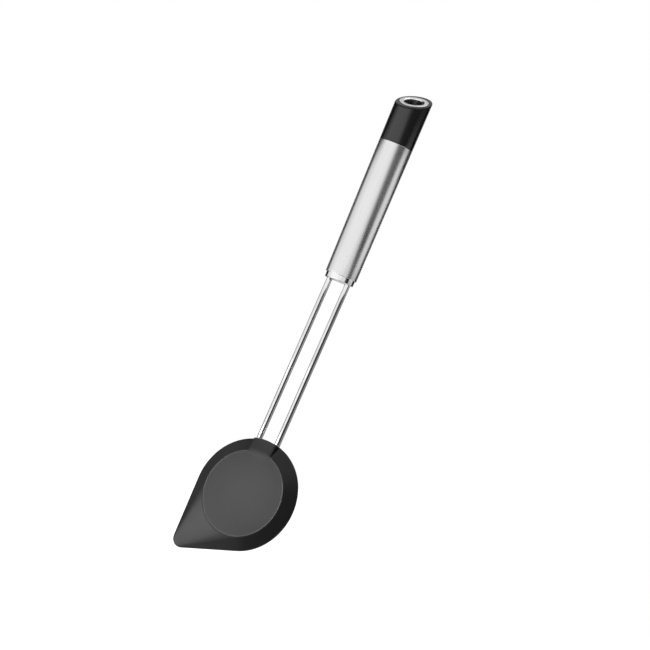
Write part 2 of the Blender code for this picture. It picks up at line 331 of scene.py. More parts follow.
@dataclass(frozen=True)
class BrushedSteel(Finish):
    """Stainless steel, brushed along the handle with fine, long marks, and worn at its ends."""

    colour: Colour = (0.66, 0.66, 0.665)
    worn_colour: Colour = (0.72, 0.72, 0.72)
    roughness: float = 0.22
    one_way: float = 0.8
    fine: Pattern = Pattern((5720.0, 5720.0, 55.0), 3.0, 0.6)
    broad: Pattern = Pattern((780.0, 780.0, 22.0))
    patches: Pattern = Pattern((60.0, 60.0, 40.0), 3.0)
    fine_share: float = 0.65
    mark_range: Range = (0.30, 0.72)
    mark_tone: float = 0.75
    mark_roughness: float = 0.16
    mark_depth: float = 0.000002
    patch_range: Range = (0.30, 0.70)
    patch_roughness: float = 0.05
    lower_wear: Range = (-0.1286, -0.1264)
    upper_wear: Range = (-0.03352, -0.0322)
    wear_tone: float = 0.5
    wear_polish: float = 0.07

    def make(self) -> bpy.types.Material:
        """Lay long fine marks over broad ones, and rub the ends of the tube bright.

        Returns:
            The material.
        """
        shop = FinishShop(self.name)
        patch = shop.noise(self.patches)
        marks = shop.noise(self.fine) * self.fine_share + shop.noise(self.broad) * (
            1.0 - self.fine_share
        )
        _, _, height = shop.parts(shop.place())
        ends = 1.0 - height.within(*self.lower_wear) + height.within(*self.upper_wear)
        wear = ends * patch.within(*self.patch_range)
        tone = marks.within(*self.mark_range) * self.mark_tone + wear * self.wear_tone
        rough = self.roughness + (marks - 0.5) * self.mark_roughness
        return shop.dress(
            Base_Color=shop.blend(tone.within(0.0, 1.0), self.colour, self.worn_colour),
            Metallic=1.0,
            Roughness=rough + (patch - 0.5) * self.patch_roughness - wear * self.wear_polish,
            Anisotropic=self.one_way,
            Normal=shop.relief(marks, self.mark_depth, 0.6),
        )


@dataclass(frozen=True)
class PolishedSteel(Finish):
    """Bright steel with faint marks from drawing or turning, and smears from handling."""

    grain: Grain = Grain.ALONG
    colour: Colour = (0.70, 0.70, 0.705)
    bright_colour: Colour = (0.78, 0.78, 0.78)
    roughness: float = 0.10
    tilt: float = 0.0
    marks: Pattern = Pattern((5200.0, 5200.0, 30.0), 2.0, 0.6)
    mark_roughness: float = 0.06
    mark_depth: float = 0.0000004
    smears: Pattern = Pattern((220.0, 220.0, 90.0), 3.0, 0.6)
    smear_range: Range = (0.35, 0.65)
    smear_roughness: float = 0.05

    def make(self) -> bpy.types.Material:
        """Run the marks along the piece or round it, and smear it.

        Returns:
            The material.
        """
        shop = FinishShop(self.name)
        turned: Signal | None = None
        if self.grain is Grain.ROUND:
            across, back, height = shop.parts(shop.place(turn=(-self.tilt, 0.0, 0.0)))
            radius = (across * across + back * back).root()
            pitch = self.marks.marks[0]
            turned = shop.node("ShaderNodeCombineXYZ", {}, {0: radius * pitch, 1: height * pitch})
        marks = shop.noise(self.marks, turned)
        smears = shop.noise(self.smears)
        rough = self.roughness + (marks - 0.5) * self.mark_roughness
        return shop.dress(
            Base_Color=shop.blend(
                smears.within(*self.smear_range), self.colour, self.bright_colour
            ),
            Metallic=1.0,
            Roughness=rough + (smears - 0.5) * self.smear_roughness,
            Normal=shop.relief(marks, self.mark_depth, 0.5),
        )


@dataclass(frozen=True)
class BlackPlastic(Finish):
    """Hard black plastic with a satin moulded skin, glossier below its slanted end face."""

    colour: Colour = (0.005, 0.005, 0.0054)
    rubbed_colour: Colour = (0.009, 0.009, 0.0095)
    roughness: float = 0.22
    specular: float = 0.2
    slant: float = 0.0
    gloss_edge: Range = (-0.0012, -0.0003)
    skin: Pattern = Pattern((2400.0, 2400.0, 2400.0), 3.0, 0.65)
    skin_roughness: float = 0.08
    skin_depth: float = 0.000005
    handling: Pattern = Pattern((140.0, 140.0, 70.0), 4.0, 0.6)
    rub_range: Range = (0.42, 0.70)
    rub_polish: float = 0.03
    hairlines: Pattern = Pattern((3200.0, 900.0, 130.0), 1.0, turn=(0.3, 0.2, 0.7))
    hairline_range: Range = (0.66, 0.78)
    hairline_roughness: float = 0.05

    def make(self) -> bpy.types.Material:
        """Rub the skin in patches, scratch it finely, and gloss it below the end face.

        Returns:
            The material.
        """
        shop = FinishShop(self.name)
        skin = shop.noise(self.skin)
        hairlines = shop.noise(self.hairlines).within(*self.hairline_range)
        rubbed = shop.noise(self.handling).within(*self.rub_range)
        _, _, above = shop.parts(shop.place(turn=(-self.slant, 0.0, 0.0)))
        rough = self.roughness + (skin - 0.5) * self.skin_roughness
        return shop.dress(
            Base_Color=shop.blend(rubbed, self.colour, self.rubbed_colour),
            Roughness=rough - rubbed * self.rub_polish + hairlines * self.hairline_roughness,
            Specular_IOR_Level=self.specular,
            Coat_Weight=1.0 - above.within(*self.gloss_edge),
            Coat_Roughness=self.roughness,
            Normal=shop.relief(skin, self.skin_depth, 0.5),
        )


@dataclass(frozen=True)
class DarkNylon(Finish):
    """Heat-proof nylon with the fine matte skin of a spark-eroded mould, paler where worn at the
    rim and with a painted highlight along the disc's bead.
    """

    colour: Colour = (0.007, 0.007, 0.0073)
    pale_colour: Colour = (0.012, 0.012, 0.0123)
    # Paler colour for the worn rim, and also the painted highlight along the disc's bead.
    worn_colour: Colour = (0.042, 0.042, 0.043)
    roughness: float = 0.31
    specular: float = 0.25
    skin: Pattern = Pattern((2600.0, 2600.0, 2600.0), 4.0, 0.7)
    skin_range: Range = (0.3, 0.7)
    skin_tone: float = 0.3
    skin_roughness: float = 0.12
    skin_depth: float = 0.000012
    flow: Pattern = Pattern((90.0, 70.0, 55.0), 4.0, 0.55)
    flow_range: Range = (0.25, 0.80)
    flow_tone: float = 0.7
    flow_roughness: float = 0.06
    wear_and_highlight_range: Range = (0.15, 0.60)
    wear_polish: float = 0.10

    def make(self) -> bpy.types.Material:
        """Cloud the colour with the flow of the plastic, pale it where the rim is worn, and paint a
        highlight along the disc's bead.

        Returns:
            The material.
        """
        shop = FinishShop(self.name)
        skin = shop.noise(self.skin)
        flow = shop.noise(self.flow)
        # The layer holds the rim's wear and a painted highlight along the disc's bead; both pale
        # the colour.
        wear = shop.node("ShaderNodeAttribute", {"attribute_name": WEAR_AND_HIGHLIGHT_LAYER}, output="Fac")
        worn = wear * skin.within(*self.wear_and_highlight_range)
        clouds = flow.within(*self.flow_range) * self.flow_tone
        tone = clouds + skin.within(*self.skin_range) * self.skin_tone
        plain_colour = shop.blend(tone, self.colour, self.pale_colour)
        rough = self.roughness + (skin - 0.5) * self.skin_roughness
        return shop.dress(
            Base_Color=shop.blend(worn, plain_colour, self.worn_colour),
            Roughness=rough + (flow - 0.5) * self.flow_roughness - worn * self.wear_polish,
            Specular_IOR_Level=self.specular,
            Normal=shop.relief(skin, self.skin_depth, 0.5),
        )


# Modelling


@dataclass(frozen=True)
class Corner:
    """A corner of a profile, sharp or rounded."""

    out: float
    height: float
    rounding: float = 0.0

    @property
    def spot(self) -> Vector:
        """Where the corner is."""
        return Vector((self.out, self.height))


def round_corners(corners: Sequence[Corner], closed: bool, steps: int = 4) -> list[Point]:
    """Turn corners into the points of a profile, with an arc at each rounded one.

    Args:
        corners: the corners in order.
        closed: whether the last corner leads back to the first.
        steps: faces in each arc.

    Returns:
        Points of (distance out, height).
    """
    points: list[Point] = []
    count = len(corners)
    for index, corner in enumerate(corners):
        here = corner.spot
        if corner.rounding == 0.0 or (not closed and index in (0, count - 1)):
            points.append(tuple(here))
            continue
        back = (corners[index - 1].spot - here).normalized()
        ahead = (corners[(index + 1) % count].spot - here).normalized()
        half = back.angle(ahead) / 2
        centre = here + (back + ahead).normalized() * corner.rounding / math.sin(half)
        start = here + back * corner.rounding / math.tan(half) - centre
        end = here + ahead * corner.rounding / math.tan(half) - centre
        sweep = math.atan2(start.x * end.y - start.y * end.x, start.dot(end))
        for step in range(steps + 1):
            turn = sweep * step / steps
            across, up = math.cos(turn), math.sin(turn)
            way = Vector((start.x * across - start.y * up, start.x * up + start.y * across))
            points.append(tuple(centre + way))
    return points


class Workpiece:
    """One mesh on the bench, shaped in edit mode with Blender's operators.

    The points that a step makes stay selected for the next step.
    """

    def __init__(self, name: str) -> None:
        """Take the new primitive, with its place in its mesh.

        Args:
            name: the piece's name.
        """
        self.item = bpy.context.object
        self.item.name = name
        self.item.data.name = name
        bpy.ops.object.transform_apply(location=True, rotation=True, scale=True)
        bpy.ops.object.mode_set(mode="EDIT")
        bpy.ops.mesh.select_mode(type="VERT")
        bpy.ops.mesh.select_all(action="SELECT")

    @classmethod
    def circle(
        cls, name: str, radius: float, sides: int, place: Place = ORIGIN, turn: Place = ORIGIN
    ) -> "Workpiece":
        """Start from an open circle.

        Args:
            name: the piece's name.
            radius: its radius.
            sides: how many points it has.
            place: its middle.
            turn: its angles.

        Returns:
            The workpiece, with the circle selected.
        """
        bpy.ops.object.select_all(action="DESELECT")
        bpy.ops.mesh.primitive_circle_add(
            vertices=sides, radius=radius, location=place, rotation=turn
        )
        return cls(name)

    @classmethod
    def rod(
        cls, name: str, radius: float, sides: int, start: Place, along: Spot, turn: Place = ORIGIN
    ) -> "Workpiece":
        """Make a solid round rod.

        Args:
            name: the piece's name.
            radius: its radius.
            sides: how many sides it has.
            start: the middle of its first end.
            along: the way from there to its other end.
            turn: the angles of its ends.

        Returns:
            The rod.
        """
        piece = cls.circle(name, radius, sides, start, turn)
        piece.fill()
        piece.extrude(along)
        return piece.release()

    @classmethod
    def turned(
        cls, name: str, profile: Sequence[Point], sides: int, closed: bool = True
    ) -> "Workpiece":
        """Turn a profile about the Z axis, ring by ring.

        Args:
            name: the piece's name.
            profile: points of (radius, height).
            sides: points in each ring.
            closed: whether the last ring leads back to the first, or both are filled.

        Returns:
            The workpiece.
        """
        radius, height = profile[0]
        piece = cls.circle(name, radius, sides, (0.0, 0.0, height))
        first = piece.chosen()
        for wide, high in [*profile[1:], profile[0]] if closed else profile[1:]:
            piece.extrude((0.0, 0.0, high - height))
            piece.scale((wide / radius, wide / radius, 1.0), (0.0, 0.0, high))
            radius, height = wide, high
        if not closed:
            piece.fill()
            piece.choose(first)
            piece.fill()
        return piece

    @property
    def shape(self) -> bmesh.types.BMesh:
        """The mesh that is being edited, with its points numbered afresh."""
        shape = bmesh.from_edit_mesh(self.item.data)
        shape.verts.index_update()
        shape.verts.ensure_lookup_table()
        return shape

    def chosen(self) -> list[int]:
        """The numbers of the selected points."""
        return [vert.index for vert in self.shape.verts if vert.select]

    def choose(self, points: Iterable[int]) -> None:
        """Select points, and the edges and faces between them.

        Args:
            points: their numbers.
        """
        bpy.ops.mesh.select_all(action="DESELECT")
        shape = self.shape
        for index in set(points):
            shape.verts[index].select_set(True)
        shape.select_flush(True)
        bmesh.update_edit_mesh(self.item.data)

    def among(self, points: Iterable[int], test: Test) -> list[int]:
        """Those of the points whose place passes a test."""
        shape = self.shape
        return [index for index in points if test(shape.verts[index].co)]

    def extrude(self, move: Spot) -> None:
        """Extrude what is selected and move it."""
        bpy.ops.mesh.extrude_region_move(TRANSFORM_OT_translate={"value": tuple(move)})

    def move(self, move: Spot) -> None:
        """Move what is selected."""
        bpy.ops.transform.translate(value=tuple(move))

    def scale(self, factors: Place, centre: Spot) -> None:
        """Scale what is selected about a point."""
        bpy.ops.transform.resize(value=factors, center_override=tuple(centre))

    def spin(self, angle: float, steps: int, centre: Vector, axis: Vector) -> None:
        """Sweep what is selected round an axis.

        Args:
            angle: how far, by the right hand.
            steps: how many faces that takes.
            centre: a point on the axis.
            axis: its direction.
        """
        bpy.ops.mesh.spin(
            steps=steps, dupli=False, angle=angle, use_auto_merge=False, center=centre, axis=axis
        )

    def fill(self) -> None:
        """Close the selected ring with one face."""
        bpy.ops.mesh.edge_face_add()

    def bevel(self, width: float, segments: int) -> None:
        """Round the selected edges."""
        bpy.ops.mesh.bevel(offset=width, segments=segments, profile=0.5, affect="EDGES")

    def bisect(self, place: Spot, normal: Spot, cut_off: bool = False) -> None:
        """Cut through the whole mesh at a plane.

        Args:
            place: a point on the plane.
            normal: the plane's normal.
            cut_off: whether the side that the normal points to goes, and the cut is closed.
        """
        bpy.ops.mesh.select_all(action="SELECT")
        bpy.ops.mesh.bisect(
            plane_co=place,
            plane_no=normal,
            use_fill=cut_off,
            clear_outer=cut_off,
            threshold=CUT_TOLERANCE,
        )

    def release(self) -> "Workpiece":
        """Merge doubles, turn the faces outwards and leave edit mode.

        Returns:
            The workpiece.
        """
        bpy.ops.mesh.select_mode(type="VERT")
        bpy.ops.mesh.select_all(action="SELECT")
        bpy.ops.mesh.remove_doubles(threshold=MERGE_DISTANCE)
        bpy.ops.mesh.normals_make_consistent(inside=False)
        bpy.ops.mesh.select_all(action="DESELECT")
        bpy.ops.object.mode_set(mode="OBJECT")
        return self

    def activate(self) -> None:
        """Make this the one selected object."""
        bpy.ops.object.select_all(action="DESELECT")
        self.item.select_set(True)
        bpy.context.view_layer.objects.active = self.item

    def turn_about_x(self, angle: float, place: Spot = ORIGIN) -> None:
        """Turn the finished mesh about the X axis through the origin, then move it.

        Args:
            angle: how far.
            place: where the origin of the mesh goes.
        """
        self.activate()
        self.item.rotation_euler = (angle, 0.0, 0.0)
        self.item.location = place
        bpy.ops.object.transform_apply(location=True, rotation=True, scale=True)

    def combine(self, tool: "Workpiece", how: Join) -> None:
        """Add another solid to this one, cut it away or keep what is inside it.

        Args:
            tool: the other solid, which is then put away.
            how: what it does.
        """
        self.activate()
        step = self.item.modifiers.new(tool.item.name, "BOOLEAN")
        step.operation = how.value
        step.solver = "EXACT"
        step.object = tool.item
        bpy.ops.object.modifier_apply(modifier=step.name)
        bpy.data.objects.remove(tool.item, do_unlink=True)

    def smooth(self, angle: float) -> None:
        """Shade the faces smooth, each normal led by its largest faces.

        Args:
            angle: degrees at an edge past which it stays sharp.
        """
        self.activate()
        bpy.ops.object.shade_smooth_by_angle(angle=math.radians(angle))
        step = self.item.modifiers.new("led_normals", "WEIGHTED_NORMAL")
        step.mode = "FACE_AREA"
        step.weight = 100
        step.keep_sharp = True
        bpy.ops.object.modifier_apply(modifier=step.name)


# Pieces


@dataclass
class Piece:
    """What every piece has: its CAD node, its finish, and the angle of its sharp edges."""

    node: str
    finish: Finish
    crease: float = 35.0

    def shape_up(self) -> Workpiece:
        """Model the piece."""
        raise NotImplementedError

    def fit(self) -> None:
        """Model the piece, dress it and put it in the frame."""
        work = self.shape_up()
        work.smooth(self.crease)
        item = work.item
        item.data.materials.clear()
        item.data.materials.append(self.finish.make())
        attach(item, BODY)
        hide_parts(self.node)
        LOG.info("%s: %d faces, %s", item.name, len(item.data.polygons), self.finish.name)


@dataclass(frozen=True)
class HandleLine:
    """The straight taper that the tube and the cap share."""

    lower_end: float = -0.1286
    upper_end: float = -0.0322
    lower_radius: float = 0.01115
    upper_radius: float = 0.0120
    wall: float = 0.0006

    def radius(self, height: float) -> float:
        """Outer radius at a height."""
        share = (height - self.lower_end) / (self.upper_end - self.lower_end)
        return self.lower_radius + (self.upper_radius - self.lower_radius) * share

    def bore(self, height: float) -> float:
        """Inner radius at a height."""
        return self.radius(height) - self.wall


@dataclass(frozen=True)
class WireLine:
    """The way of the wire: down from the plug, a slight bend, a U inside the head and back."""

    top: float = -0.1286
    drop: float = 0.0038
    tail: float = 0.0095
    free_length: float = 0.1179
    lean: float = math.radians(1.95)
    tilt: float = math.radians(6.4)
    bend_radius: float = 0.0120
    bend_steps: int = 4
    spacing: float = 0.0149
    turn_steps: int = 28
    grip_length: float = 0.0155
    sides: int = 48

    @property
    def down(self) -> Vector:
        """Which way the legs run."""
        return Vector((0.0, -math.sin(self.lean), -math.cos(self.lean)))

    @property
    def head_up(self) -> Vector:
        """Which way the head's own upright runs."""
        return Vector((0.0, math.sin(self.tilt), math.cos(self.tilt)))

    @property
    def head_out(self) -> Vector:
        """Which way the head's face looks."""
        return X_AXIS.cross(self.head_up)

    @property
    def rim_point(self) -> Vector:
        """Midway between the two legs where they enter the head."""
        return Vector((0.0, 0.0, self.top - self.drop)) + self.down * self.free_length

    def sweep(self, name: str, radius: float) -> Workpiece:
        """Sweep a round section along the wire's way.

        Args:
            name: name of the solid.
            radius: radius of the section.

        Returns:
            The solid.
        """
        bend = self.tilt - self.lean
        tangent = self.bend_radius * math.tan(bend / 2)
        forward = self.down.cross(-X_AXIS)
        across = X_AXIS * (self.spacing / 2)
        start = self.rim_point - self.down * (self.free_length + self.tail) + across
        leg = self.down * (self.free_length + self.tail - tangent)
        straight = self.head_up * (self.grip_length - tangent)
        pivot = self.rim_point - self.down * tangent + forward * self.bend_radius
        middle = self.rim_point - self.head_up * self.grip_length
        work = Workpiece.circle(name, radius, self.sides, tuple(start), (-self.lean, 0.0, 0.0))
        work.fill()
        work.extrude(leg)
        work.spin(-bend, self.bend_steps, pivot + across, X_AXIS)
        work.extrude(-straight)
        work.spin(-math.pi, self.turn_steps, middle, self.head_out)
        work.extrude(straight)
        work.spin(bend, self.bend_steps, pivot - across, X_AXIS)
        work.extrude(-leg)
        return work.release()


@dataclass
class HandleTube(Piece):
    """The tapered tube, with both ends rounded over."""

    line: HandleLine = HandleLine()
    lip: float = 0.00025
    sides: int = 160

    def shape_up(self) -> Workpiece:
        """Turn the tube's wall.

        Returns:
            The tube.
        """
        low, high = self.line.lower_end, self.line.upper_end
        corners = [
            Corner(self.line.bore(low), low, self.lip),
            Corner(self.line.radius(low), low, self.lip),
            Corner(self.line.radius(high), high, self.lip),
            Corner(self.line.bore(high), high, self.lip),
        ]
        return Workpiece.turned("tube_wall", round_corners(corners, True), self.sides).release()


@dataclass
class EndPlug(Piece):
    """The bright cup in the lower end of the tube, bored for the two legs of the wire."""

    line: HandleLine = HandleLine()
    wire: WireLine = WireLine()
    gap: float = 0.00025
    insert: float = 0.0110
    floor: float = 0.0060
    wall: float = 0.0016
    lip: float = 0.00042
    top_lip: float = 0.0003
    inner_lip: float = 0.0005
    hole_radius: float = 0.00205
    hole_sides: int = 64
    sides: int = 160
    # Where the flat faces have rings, as shares of the radius.
    inner_ring: float = 0.02
    middle_ring: float = 0.5

    def shape_up(self) -> Workpiece:
        """Turn the cup and bore it.

        Returns:
            The plug.
        """
        end = self.line.lower_end
        radius = self.line.bore(end) - self.gap
        bottom, top = end - self.wire.drop, end + self.insert
        corners = [
            Corner(radius * self.inner_ring, bottom + self.floor),
            Corner(radius - self.wall, bottom + self.floor, self.inner_lip),
            Corner(radius - self.wall, top),
            Corner(radius, top, self.top_lip),
            Corner(radius, bottom, self.lip),
            Corner(radius * self.middle_ring, bottom),
            Corner(radius * self.inner_ring, bottom),
        ]
        profile = round_corners(corners, False)
        work = Workpiece.turned("plug_cup", profile, self.sides, closed=False).release()
        down, turn = self.wire.down, (-self.wire.lean, 0.0, 0.0)
        along = down * -(self.floor + 2 * CLEAR)
        size = (self.hole_radius, self.hole_sides)
        for side in (-1, 1):
            start = Vector((side * self.wire.spacing / 2, 0.0, bottom)) + down * CLEAR
            drill = Workpiece.rod(f"drill_{side}", *size, tuple(start), along, turn)
            work.combine(drill, Join.CUT)
        return work


@dataclass
class WireShank(Piece):
    """The pair of rods, which are one wire."""

    crease: float = 40.0
    line: WireLine = WireLine()
    radius: float = 0.0020

    def shape_up(self) -> Workpiece:
        """Sweep the wire's round section along its way."""
        return self.line.sweep("wire_rods", self.radius)


@dataclass
class HangingEyelet(Piece):
    """The turned steel eyelet: a flat flange, a rolled lip and a short sleeve."""

    slant: float = SLANT
    eye_radius: float = 0.0070
    lip: float = 0.0009
    lip_steps: int = 9
    flange_radius: float = 0.01005
    flange_edge: float = 0.0003
    flange_thickness: float = 0.0008
    proud: float = 0.00015
    sleeve_wall: float = 0.0006
    sleeve_length: float = 0.0045
    sleeve_edge: float = 0.0002
    sides: int = 144

    def shape_up(self) -> Workpiece:
        """Turn the eyelet and lean it into the slanted end.

        Returns:
            The eyelet.
        """
        under = self.proud - self.flange_thickness
        sleeve = self.eye_radius + self.sleeve_wall
        corners = [
            Corner(self.eye_radius, -self.sleeve_length, self.sleeve_edge),
            Corner(self.eye_radius, self.proud, self.lip),
            Corner(self.flange_radius, self.proud, self.flange_edge),
            Corner(self.flange_radius, under),
            Corner(sleeve, under, self.sleeve_edge),
            Corner(sleeve, -self.sleeve_length, self.sleeve_edge),
        ]
        profile = round_corners(corners, True, self.lip_steps)
        work = Workpiece.turned("eyelet_ring", profile, self.sides).release()
        work.turn_about_x(self.slant)
        return work


@dataclass
class EndCap(Piece):
    """The plastic cap: a slanted end with a rounded edge, the eyelet's seat and a bore."""

    crease: float = 32.0
    line: HandleLine = HandleLine()
    seam: float = 0.0001
    gap: float = 0.00025
    slant: float = SLANT
    edge: float = 0.0010
    edge_steps: int = 6
    foot_edge: float = 0.00018
    blank_top: float = 0.012
    spigot_length: float = 0.014
    spigot_wall: float = 0.0022
    spigot_edge: float = 0.0005
    web: float = 0.0025
    seat_radius: float = 0.01015
    seat_depth: float = 0.00070
    socket_radius: float = 0.00775
    socket_depth: float = 0.00475
    bore_radius: float = 0.0060
    bore_lean: float = math.radians(48.0)
    sides: int = 160
    cutter_sides: int = 128

    def shape_up(self) -> Workpiece:
        """Turn the body, cut it at its slant, round the edge and bore it.

        Returns:
            The cap.
        """
        base = self.line.upper_end + self.seam
        foot = base - self.spigot_length
        spigot = self.line.bore(foot) - self.gap
        corners = [
            Corner(spigot - self.spigot_wall, base + self.web),
            Corner(spigot - self.spigot_wall, foot),
            Corner(spigot, foot, self.spigot_edge),
            Corner(spigot, base),
            Corner(self.line.radius(base), base, self.foot_edge),
            Corner(self.line.radius(self.blank_top), self.blank_top),
        ]
        profile = round_corners(corners, False)
        work = Workpiece.turned("cap_body", profile, self.sides, closed=False)
        work.bisect(ORIGIN, (0.0, -math.sin(self.slant), math.cos(self.slant)), cut_off=True)
        work.bevel(self.edge, self.edge_steps)
        work.release()
        work.combine(self._eyelet_seat(), Join.CUT)
        work.combine(self._hook_bore(), Join.CUT)
        return work

    def _eyelet_seat(self) -> Workpiece:
        """Make the stepped cutter for the flange and the sleeve of the eyelet.

        Returns:
            The cutter.
        """
        profile = [
            (self.socket_radius, -self.socket_depth),
            (self.socket_radius, -self.seat_depth),
            (self.seat_radius, -self.seat_depth),
            (self.seat_radius, CLEAR),
        ]
        cutter = Workpiece.turned("eyelet_seat", profile, self.cutter_sides, closed=False)
        cutter.release().turn_about_x(self.slant)
        return cutter

    def _hook_bore(self) -> Workpiece:
        """Make the round cutter from the sleeve's end down to the back of the cap.

        Returns:
            The cutter.
        """
        lean = self.bore_lean - self.slant
        reach = self.line.upper_radius / math.sin(self.bore_lean) + CLEAR
        foot = -self.socket_depth + self.bore_radius * math.sin(lean)
        size = (self.bore_radius, self.cutter_sides)
        cutter = Workpiece.rod("hook_bore", *size, (0.0, 0.0, -reach), (0.0, 0.0, reach))
        cutter.turn_about_x(lean, (0.0, 0.0, foot))
        cutter.turn_about_x(self.slant)
        return cutter


@dataclass(frozen=True)
class Ring:
    """One ring of the head: a circle of a radius, or the outline drawn in by an inset."""

    plan: Plan
    size: float
    height: float

    def radius(self, outline: float) -> float:
        """Radius of an arc of the ring, from that of the same arc of the outline."""
        return self.size if self.plan is Plan.CIRCLE else outline - self.size


@dataclass
class SpoonHead(Piece):
    """The moulded head: a raised disc, a slope to a thin rim, a dish behind, and the neck."""

    crease: float = 22.0
    line: WireLine = WireLine()
    channel_radius: float = 0.00204
    # The outline.
    offset: float = 0.0019
    radius: float = 0.0388
    tip_reach: float = 0.0598
    tip_angle: float = math.radians(33.6)
    tip_radius: float = 0.0068
    tip_catch: float = 0.0102
    sides: int = 240
    # The disc, with a bead round it, and the dish behind.
    disc_radius: float = 0.03035
    disc_rise: float = 0.0035
    disc_sink: float = 0.00003
    disc_shares: tuple[float, ...] = (0.25, 0.5, 0.75)
    bead_start: float = 0.9
    bead_foot: float = 0.00135
    bead_hollow: float = 0.00045
    bead_crest: float = 0.000405
    bead_round: float = 0.00036
    bead_steepness: float = 2.6
    bead_steps: int = 3
    wall: float = 0.0024
    dish_shares: tuple[float, ...] = (1.0, 0.97, 0.75, 0.5, 0.25)
    # The rim.
    rim_wall: float = 0.0018
    rim_front_edge: float = 0.0006
    rim_back_edge: float = 0.00048
    rim_lead: float = 0.004
    dish_lip: float = 0.0015
    dish_edge: float = 0.0004
    dish_lead: float = 0.003
    # The neck, which is cut into small faces before its front is lifted.
    neck_thick: float = 0.0030
    neck_side: float = 0.0025
    neck_square: float = 0.6
    neck_steps: int = 14
    neck_sides: int = 64
    neck_spare: float = 0.0008
    neck_proud: float = -0.00006
    neck_rise: float = 0.00066
    neck_over: float = 0.00003
    neck_trim: float = 0.01
    lift_from: float = 0.00002
    tuck: float = 0.0005
    tuck_start: float = 0.0040
    cut_start: float = -0.0123
    cut_pitch: float = 0.002
    cuts: int = 11
    row_pitch: float = 0.0012
    rows: tuple[int, ...] = (*range(-3, 8), -5)
    # The rim's wear, and the painted highlight along the disc's bead.
    rim_band: float = 0.0002
    rim_wear: float = 0.5
    bead_band: float = 0.0003
    least_bead_highlight: float = 0.15
    bead_highlight_fade: float = 1.5

    @property
    def front(self) -> float:
        """Height of the rim's front above the wire's plane."""
        return self.rim_wall / 2

    @property
    def disc_front(self) -> float:
        """Height of the disc above the wire's plane."""
        return self.front + self.disc_rise

    @property
    def tip_way(self) -> Vector:
        """Which way the tip points, in the head's plane."""
        return Vector((-math.sin(self.tip_angle), -math.cos(self.tip_angle), 0.0))

    @property
    def tip_centre(self) -> Vector:
        """Middle of the tip's round."""
        return self.tip_way * (self.tip_reach - self.tip_radius)

    @property
    def side_angle(self) -> float:
        """How far from the tip's direction the straight sides face."""
        return math.acos((self.radius - self.tip_radius) / (self.tip_reach - self.tip_radius))

    @property
    def middle(self) -> Vector:
        """Middle of the head's round."""
        return self.line.rim_point + X_AXIS * self.offset - self.line.head_up * self.radius

    def shape_up(self) -> Workpiece:
        """Model the body and the neck in the head's own plane, lay them in place, and mark the
        rim's wear and the bead's painted highlight.

        Returns:
            The head.
        """
        work = self._body()
        work.combine(self._neck(), Join.ADD)
        work.turn_about_x(math.pi / 2 - self.line.tilt, self.middle)
        work.combine(self.line.sweep("wire_channel", self.channel_radius), Join.CUT)
        # Mark each point's wear at the rim and painted highlight on the disc's bead.
        worn = work.item.data.attributes.new(WEAR_AND_HIGHLIGHT_LAYER, "FLOAT", "POINT")
        for vert, mark in zip(work.item.data.vertices, worn.data):
            mark.value = self._wear_and_highlight(vert.co - self.middle)
        return work

    def _rings(self) -> list[Ring]:
        """List the rings of the body, from the middle of the disc to that of the dish.

        Returns:
            The rings.
        """
        disc, front = self.disc_radius, self.front
        face = self.disc_front - self.disc_sink
        floor = self.disc_front - self.wall
        slope = self.disc_rise / (self.radius - disc)
        fall = (floor + front) / (self.radius - disc)
        bead_end = self.disc_front - self.bead_hollow * slope * self.bead_steepness
        bead = [
            Corner(disc * self.bead_start, face),
            Corner(disc - self.bead_foot, face, self.bead_hollow),
            Corner(disc - self.bead_crest, self.disc_front, self.bead_round),
            Corner(disc + self.bead_hollow, bead_end),
        ]
        rim = [
            Corner(self.rim_lead, front + self.rim_lead * slope),
            Corner(0.0, front, self.rim_front_edge),
            Corner(0.0, -front, self.rim_back_edge),
            Corner(self.dish_lip, -front, self.dish_edge),
            Corner(self.dish_lip + self.dish_lead, -front + self.dish_lead * fall),
        ]
        bead_points = round_corners(bead, False, self.bead_steps)
        rim_points = round_corners(rim, False)[1:-1]
        return [
            *(Ring(Plan.CIRCLE, disc * share, face) for share in self.disc_shares),
            *(Ring(Plan.CIRCLE, out, height) for out, height in bead_points),
            *(Ring(Plan.OUTLINE, out, height) for out, height in rim_points),
            *(Ring(Plan.CIRCLE, disc * share, floor) for share in self.dish_shares),
        ]

    def _body(self) -> Workpiece:
        """Draw the head's body out ring by ring.

        Returns:
            The body, in the head's own plane.
        """
        rings = self._rings()
        first = rings[0]
        turn = (0.0, 0.0, -math.pi / 2 - self.tip_angle)
        place = (0.0, 0.0, first.height)
        work = Workpiece.circle("head_body", first.size, self.sides, place, turn)
        work.fill()
        for before, after in zip(rings, rings[1:]):
            self._next_ring(work, before, after)
        work.fill()
        return work.release()

    def _next_ring(self, work: Workpiece, before: Ring, after: Ring) -> None:
        """Extrude the selected ring and bring it to the next ring's plan and height.

        Args:
            work: the body.
            before: the ring that is selected.
            after: the ring that is made.
        """
        work.extrude((0.0, 0.0, after.height - before.height))
        ring = work.chosen()
        if before.plan is Plan.CIRCLE:
            side = self.side_angle
            tip = work.among(ring, lambda spot: self.tip_way.angle(spot * Vector((1, 1, 0))) < side)
        else:
            reach = self.tip_catch
            tip = work.among(ring, lambda spot: (spot.xy - self.tip_centre.xy).length < reach)
        centre = (0.0, 0.0, after.height)
        growth = after.radius(self.radius) / before.radius(self.radius)
        work.choose(set(ring) - set(tip))
        work.scale((growth, growth, 1.0), centre)
        growth = after.radius(self.tip_radius) / before.radius(self.tip_radius)
        work.choose(tip)
        if before.plan is Plan.OUTLINE:
            work.move(-self.tip_centre)
        work.scale((growth, growth, 1.0), centre)
        if after.plan is Plan.OUTLINE:
            work.move(self.tip_centre)
        work.choose(ring)

